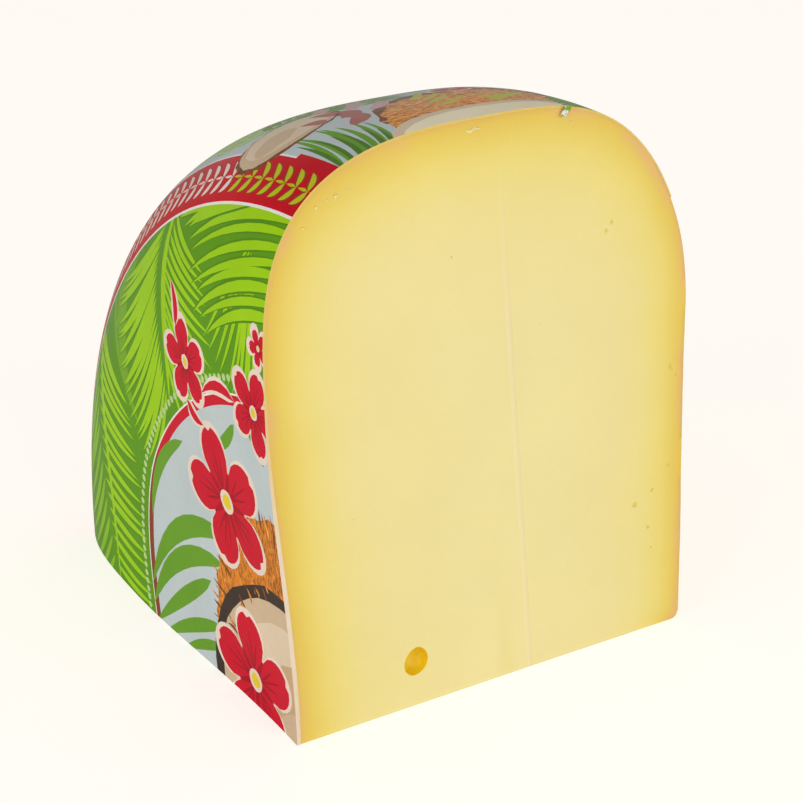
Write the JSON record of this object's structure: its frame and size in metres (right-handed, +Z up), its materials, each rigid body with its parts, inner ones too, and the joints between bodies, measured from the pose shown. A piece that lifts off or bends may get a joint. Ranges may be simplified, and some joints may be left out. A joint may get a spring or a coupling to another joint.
{
  "type": "cheese wedge",
  "caption": "Quarter of a round semi-hard cheese standing on a cut face, with smooth pale paste, a golden rind and a printed label film over one flat face and the rim.",
  "frame": {"origin": "middle of the bottom cut face's bounding box, on the surface it stands on", "axes": "+X along the axis of the wheel that the quarter was cut from, towards the bare rind face; -Y out of the upright cut face; +Z up"},
  "size_m": [0.0974, 0.1222, 0.1222],
  "materials": {
    "cheese": "smooth, slightly waxy knife-cut paste with a coated rind",
    "label_film": "glossy printed film"
  },
  "bodies": {
    "root": {"cheese_quarter": "cheese", "label_film": "label_film"}
  },
  "joints": []
}
